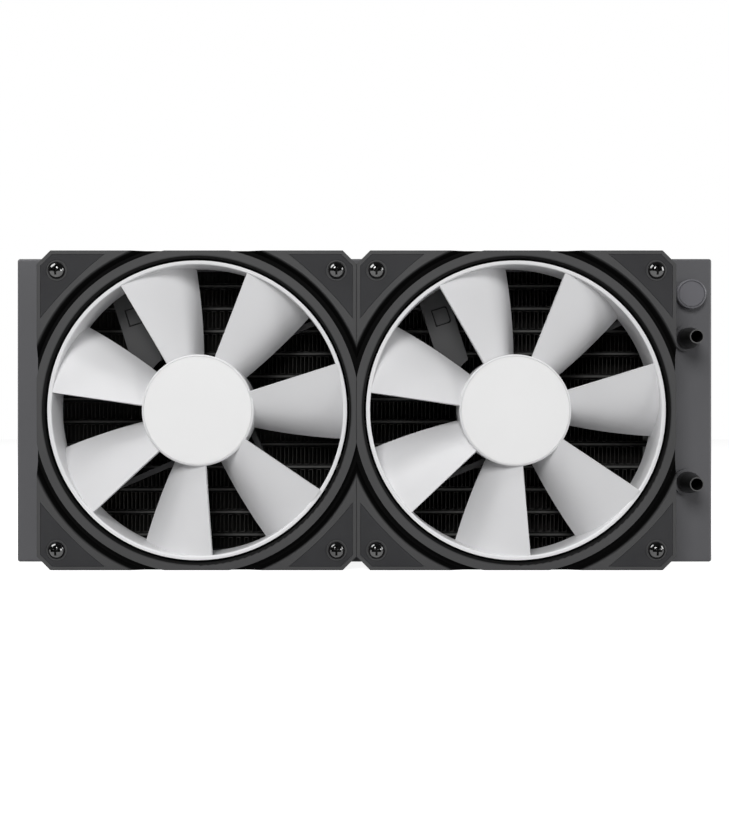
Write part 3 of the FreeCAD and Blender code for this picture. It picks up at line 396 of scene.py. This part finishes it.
for side, axis in fan_axes.items():
    mesh = copy_of(f"{side}_fan_frame")
    clip_low, clip_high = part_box(f"{side}_cable_clip")
    for face in mesh.faces:
        face.material_index = frame_finishes.index(finish_of_face(face, axis, clip_low, clip_high))
    outline_edges = [edge for edge in mesh.edges if on_outline(edge, axis)]
    rounded = bmesh.ops.bevel(mesh, geom=outline_edges, offset=edge_round, offset_type="OFFSET",
                              affect="EDGES", segments=2, profile=0.5, material=-1, clamp_overlap=True)
    # Painted shade: the rounded outline edges get the darkening finish, so a dark line shows where the frames
    # meet.
    for face in rounded["faces"]:
        face.material_index = frame_finishes.index(groove_painted_shade)
    new_piece(f"{side}_frame_moulding", mesh, frame_finishes, f"{side}_fan_frame", "radiator",
              30)
    # Painted shade: the cable clip darkens to black behind its front.
    clip_plastic_shaded = fading_finish(f"{side}_clip_plastic_shaded", (0.055, 0.055, 0.056), (0.064, 0.064, 0.065),
                                 (0.003, 0.003, 0.003), clip_low[1] + clip_rise, clip_low[1] + clip_fade,
                                 3200, 0.15)
    dress(clip_plastic_shaded, f"{side}_cable_clip")

# Corner pads: triangles of dark rubber set into the flanges' corners, front and back, so that the fan
# doesn't hum against what it is screwed to.
pad_rubber = rubber("pad_rubber", (0.032, 0.032, 0.034), (0.039, 0.039, 0.041))
for side in fan_axes:
    dress(pad_rubber, f"{side}_front_pads", f"{side}_rear_pads")

# Impellers: hub, seven blades and outer ring moulded together in white plastic, satin and a little
# cloudy, and pressed on to the steel rotor cup. Each blade widens and twists from root to tip, and its
# face falls back more steeply towards the trailing edge.
ring_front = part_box("left_impeller_ring")[0][1]
# The ring's front edges nearer to the axis than this are its inner rim
inner_rim_reach = 0.0552
ring_bevel = 0.0006
blade_count = 7
first_blade = math.radians(4.1)
blade_inner, blade_outer = 0.0209, 0.0553
blade_thickness = 0.0012
# One blade's front face at the root, the middle and the tip: distance from the axis, width before and
# behind the blade's own radius, and Y of the leading and of the trailing edge
blade_places = (0.0198, 0.0383, 0.057)
blade_leads = (0.0058, 0.0102, 0.0147)
blade_trails = (0.0069, 0.0114, 0.0143)
leading_y = (-0.0214, -0.0224, -0.0233)
trailing_y = (-0.0096, -0.0092, -0.0088)
# How much of the way back from the leading to the trailing edge is straight, and how much is a late curve
straight_share, curved_share = 0.4, 0.6
settling_steps = 4
impeller_plastic = moulded_plastic("impeller_plastic", (0.73, 0.73, 0.74), (0.76, 0.76, 0.77),
                                   0.34, 1500, 0.000008)
# Painted shade: the blades are coloured a shade darker than the hub and ring of the same moulding.
blade_plastic_shaded = moulded_plastic("blade_plastic_shaded", (0.64, 0.64, 0.65), (0.67, 0.67, 0.68), 0.36, 1500, 0.000008)


def between(values, at):
    """The value at one distance from the axis, on a curve through root, middle and tip."""
    total = 0
    for one, value in enumerate(values):
        for other, place in enumerate(blade_places):
            if other != one:
                value *= (at - place) / (blade_places[one] - place)
        total += value
    return total


def blade_point(share, reach):
    """A point of a blade's front face: outwards along its own radius, Y, and sideways from it.

    The share runs from the leading to the trailing edge, and the reach is the distance from the axis.
    """
    outwards = reach
    for step in range(settling_steps):
        lead, trail = between(blade_leads, outwards), between(blade_trails, outwards)
        sideways = lead - share * (lead + trail)
        outwards = math.sqrt(reach ** 2 - sideways ** 2)
    front, rear = between(leading_y, outwards), between(trailing_y, outwards)
    back = straight_share * share + curved_share * share ** 4
    return outwards, front + (rear - front) * back, sideways


for side, axis in fan_axes.items():
    dress(impeller_plastic, f"{side}_impeller_hub")
    mesh = copy_of(f"{side}_impeller_ring")
    inner_rim = [edge for edge in mesh.edges
                 if all(abs(point.co.y - ring_front) < touching
                        and math.hypot(point.co.x - axis, point.co.z - axis_height) < inner_rim_reach
                        for point in edge.verts)]
    bmesh.ops.bevel(mesh, geom=inner_rim, offset=ring_bevel, offset_type="OFFSET", affect="EDGES",
                    segments=3, profile=0.5, material=-1, clamp_overlap=True)
    new_piece(f"{side}_ring", mesh, [impeller_plastic], f"{side}_impeller_ring", f"{side}_rotor",
              50)
    mesh = bmesh.new()
    for blade in range(blade_count):
        turn = first_blade + blade * math.tau / blade_count
        made = bmesh.ops.create_grid(mesh, x_segments=20, y_segments=14, size=1)["verts"]
        for point in made:
            reach = blade_inner + (blade_outer - blade_inner) * (point.co.y + 1) / 2
            outwards, back_y, sideways = blade_point((point.co.x + 1) / 2, reach)
            point.co = (axis + outwards * math.cos(turn) - sideways * math.sin(turn), back_y,
                        axis_height + outwards * math.sin(turn) + sideways * math.cos(turn))
    bmesh.ops.recalc_face_normals(mesh, faces=mesh.faces)
    bmesh.ops.solidify(mesh, geom=mesh.faces[:], thickness=blade_thickness)
    new_piece(f"{side}_blades", mesh, [blade_plastic_shaded], f"{side}_impeller_blades", f"{side}_rotor",
              40)

# Hub caps: a plain round disc on each fan, moulded in a slightly brighter white plastic than the hub and
# glued into the recess in the hub's face.
cap_plastic = moulded_plastic("cap_plastic", (0.79, 0.79, 0.79), (0.81, 0.81, 0.81), 0.4, 2600, 0.000006)
for side in fan_axes:
    dress(cap_plastic, f"{side}_hub_cap")

# Fan screws: cross-head screws of steel under black nickel, one through each corner of a fan into the
# radiator's tabs. The plating is smooth, with faint marks from tumbling, and the cross recess is coloured
# near-black as painted shade.
screw_inset = 0.0075
head_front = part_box("left_fan_screws")[0][1]
recess_reach = 0.0021
recess_start = 0.001


def bare_metal(name, dark, light, smooth, rough, grain, stretch=None):
    """Metal with hair-fine marks, drawn out along one axis where a tool left them."""
    finish, nodes, links, shader = new_finish(name)
    stains = grain_of(nodes, links, 120, 3)
    marks = grain_of(nodes, links, grain, 4, stretch)
    shader.inputs["Metallic"].default_value = 1
    colour_by(nodes, links, shader, stains, dark, light)
    roughness_by(nodes, links, shader, marks, smooth, rough)
    raised_by(nodes, links, shader, marks, 0.000004)
    return finish


black_nickel = bare_metal("black_nickel", (0.085, 0.085, 0.085), (0.115, 0.115, 0.115), 0.1, 0.16, 2500)
recess_painted_shade = bare_metal("recess_painted_shade", (0.008, 0.008, 0.008), (0.016, 0.016, 0.016), 0.5, 0.7, 2500)
screw_finishes = [black_nickel, recess_painted_shade]
for side, axis in fan_axes.items():
    mesh = copy_of(f"{side}_fan_screws")
    for face in mesh.faces:
        middle = face.calc_center_median()
        across = abs(abs(middle.x - axis) - (half_width - screw_inset))
        up = abs(abs(middle.z - axis_height) - (half_width - screw_inset))
        wall_of_cross = abs(face.normal.y) < 0.01
        floor_of_cross = face.normal.y < -0.99 and middle.y > head_front + recess_start
        # Painted shade: the walls and floor of the cross recess are coloured near-black.
        if math.hypot(across, up) < recess_reach and (wall_of_cross or floor_of_cross):
            face.material_index = screw_finishes.index(recess_painted_shade)
    new_piece(f"{side}_screws", mesh, screw_finishes, f"{side}_fan_screws", "radiator", 30)

# Motor, steel: the deep-drawn rotor cup inside the hub, and the ground shaft pressed into the hub. Both
# are bare: the cup is dull with drawing marks along it, and the shaft is bright with rings round it.
drawn_steel = bare_metal("drawn_steel", (0.42, 0.42, 0.43), (0.52, 0.52, 0.53), 0.3, 0.42, 900, (1, 0.1, 1))
ground_steel = bare_metal("ground_steel", (0.55, 0.55, 0.56), (0.62, 0.62, 0.63), 0.12, 0.2, 3000, (1, 8, 1))
for side in fan_axes:
    dress(drawn_steel, f"{side}_rotor_yoke")
    dress(ground_steel, f"{side}_rotor_shaft")


# Motor, stator: a stack of thin steel sheets on the bearing tube, and enamelled copper wire wound round
# its four poles. The sheets' edges show as fine lines across the axis.
def banded_metal(name, dark, light, bands, depth):
    """Metal in fine parallel lines across the axis, such as stacked sheets or laid wire."""
    finish, nodes, links, shader = new_finish(name)
    place = nodes.new("ShaderNodeTexCoord")
    lines = nodes.new("ShaderNodeTexWave")
    lines.wave_type = "BANDS"
    lines.bands_direction = "Y"
    lines.inputs["Scale"].default_value = bands
    lines.inputs["Distortion"].default_value = 0.4
    links.new(place.outputs["Object"], lines.inputs["Vector"])
    shader.inputs["Metallic"].default_value = 1
    colour_by(nodes, links, shader, lines.outputs["Fac"], dark, light, 0.1, 0.6)
    roughness_by(nodes, links, shader, grain_of(nodes, links, 700), 0.3, 0.42)
    raised_by(nodes, links, shader, lines.outputs["Fac"], depth)
    return finish


sheet_stack = banded_metal("sheet_stack", (0.2, 0.2, 0.2), (0.45, 0.45, 0.46), 640, 0.00004)
copper_wire = banded_metal("copper_wire", (0.3, 0.09, 0.03), (0.72, 0.3, 0.14), 900, 0.00008)
for side in fan_axes:
    dress(sheet_stack, f"{side}_stator_core")
    dress(copper_wire, f"{side}_stator_coils")

# Motor, board: a round glass-fibre board with green solder resist on both faces. It lies behind the
# poles, round the bearing tube.
board_resist = moulded_plastic("board_resist", (0.012, 0.085, 0.03), (0.02, 0.12, 0.045), 0.25, 1800, 0.00002)
for side in fan_axes:
    dress(board_resist, f"{side}_circuit_board")

# Motor, magnet: a ring of ferrite powder pressed in plastic, dull dark grey. It is glued inside the
# steel cup and turns round the poles.
ferrite = rubber("ferrite", (0.04, 0.04, 0.042), (0.062, 0.062, 0.065))
for side in fan_axes:
    dress(ferrite, f"{side}_ring_magnet")

# Motor, bearing: a sleeve of oiled sintered bronze in the bearing tube, and a snap ring of white acetal
# on the end of the shaft that keeps the impeller from coming off.
sintered_bronze = bare_metal("sintered_bronze", (0.36, 0.2, 0.07), (0.55, 0.34, 0.14), 0.38, 0.6, 2200)
acetal = moulded_plastic("acetal", (0.68, 0.68, 0.64), (0.74, 0.74, 0.7), 0.4, 1500, 0.00001)
for side in fan_axes:
    dress(sintered_bronze, f"{side}_bearing_sleeve")
    dress(acetal, f"{side}_retaining_clip")

# Floor: a plain white table under the radiator's long edge. It reads as white to the eye and in
# reflections, and takes the radiator's soft shadow.
floor_mesh = bmesh.new()
bmesh.ops.create_grid(floor_mesh, x_segments=1, y_segments=1, size=2)
floor_data = bpy.data.meshes.new("floor")
floor_mesh.to_mesh(floor_data)
floor_mesh.free()
floor = bpy.data.objects.new("floor", floor_data)
bpy.context.scene.collection.objects.link(floor)
floor_finish = bpy.data.materials.new("floor_finish")
floor_finish.use_nodes = True
floor_nodes, floor_links = floor_finish.node_tree.nodes, floor_finish.node_tree.links
floor_nodes.clear()
floor_out = floor_nodes.new("ShaderNodeOutputMaterial")
floor_paint = floor_nodes.new("ShaderNodeBsdfDiffuse")
floor_paint.inputs["Color"].default_value = (0.35, 0.35, 0.35, 1)
floor_glow = floor_nodes.new("ShaderNodeEmission")
floor_ray = floor_nodes.new("ShaderNodeLightPath")
floor_seen = floor_nodes.new("ShaderNodeMath")
floor_seen.operation = "MAXIMUM"
floor_links.new(floor_ray.outputs["Is Camera Ray"], floor_seen.inputs[0])
floor_links.new(floor_ray.outputs["Is Glossy Ray"], floor_seen.inputs[1])
floor_level = floor_nodes.new("ShaderNodeMath")
floor_level.operation = "MULTIPLY"
floor_level.inputs[1].default_value = 0.9
floor_links.new(floor_seen.outputs[0], floor_level.inputs[0])
floor_links.new(floor_level.outputs[0], floor_glow.inputs["Strength"])
floor_both = floor_nodes.new("ShaderNodeAddShader")
floor_links.new(floor_paint.outputs[0], floor_both.inputs[0])
floor_links.new(floor_glow.outputs[0], floor_both.inputs[1])
floor_links.new(floor_both.outputs[0], floor_out.inputs["Surface"])
floor_data.materials.append(floor_finish)

# Studio: a plain white room round the table. It is white to the eye and through glass, and sheds only a
# weak even light on the radiator.
room = bpy.data.worlds.new("studio")
bpy.context.scene.world = room
room.use_nodes = True
room_nodes, room_links = room.node_tree.nodes, room.node_tree.links
room_light = room_nodes["Background"]
room_light.inputs["Color"].default_value = (1, 1, 1, 1)
room_ray = room_nodes.new("ShaderNodeLightPath")
room_seen = room_nodes.new("ShaderNodeMath")
room_seen.operation = "MAXIMUM"
room_links.new(room_ray.outputs["Is Camera Ray"], room_seen.inputs[0])
room_links.new(room_ray.outputs["Is Transmission Ray"], room_seen.inputs[1])
room_level = room_nodes.new("ShaderNodeMapRange")
room_level.inputs["To Min"].default_value = 0.05
room_level.inputs["To Max"].default_value = 1
room_links.new(room_seen.outputs[0], room_level.inputs["Value"])
room_links.new(room_level.outputs["Result"], room_light.inputs["Strength"])


# Lamps: four square soft lamps. The broad one above the camera lights the fans' fronts, a small one at
# the right softens their shadows, and one beyond each end draws the bright edges on the screws.
def lamp(name, place, width, power):
    """A square soft lamp that faces the middle of the radiator."""
    light = bpy.data.lights.new(name, "AREA")
    light.size = width
    light.energy = power
    holder = bpy.data.objects.new(name, light)
    bpy.context.scene.collection.objects.link(holder)
    holder.location = place
    away = Vector((0, 0, 0.06)) - Vector(place)
    holder.rotation_euler = away.to_track_quat("-Z", "Y").to_euler()


lamp("main_lamp", (-0.3, -1.5, 0.95), 0.7, 22)
lamp("side_lamp", (1.3, -0.7, 0.2), 0.5, 6)
lamp("left_edge_lamp", (-0.9, 0.05, 1.1), 0.9, 18)
lamp("right_edge_lamp", (1.3, 0.1, 0.45), 0.6, 8)
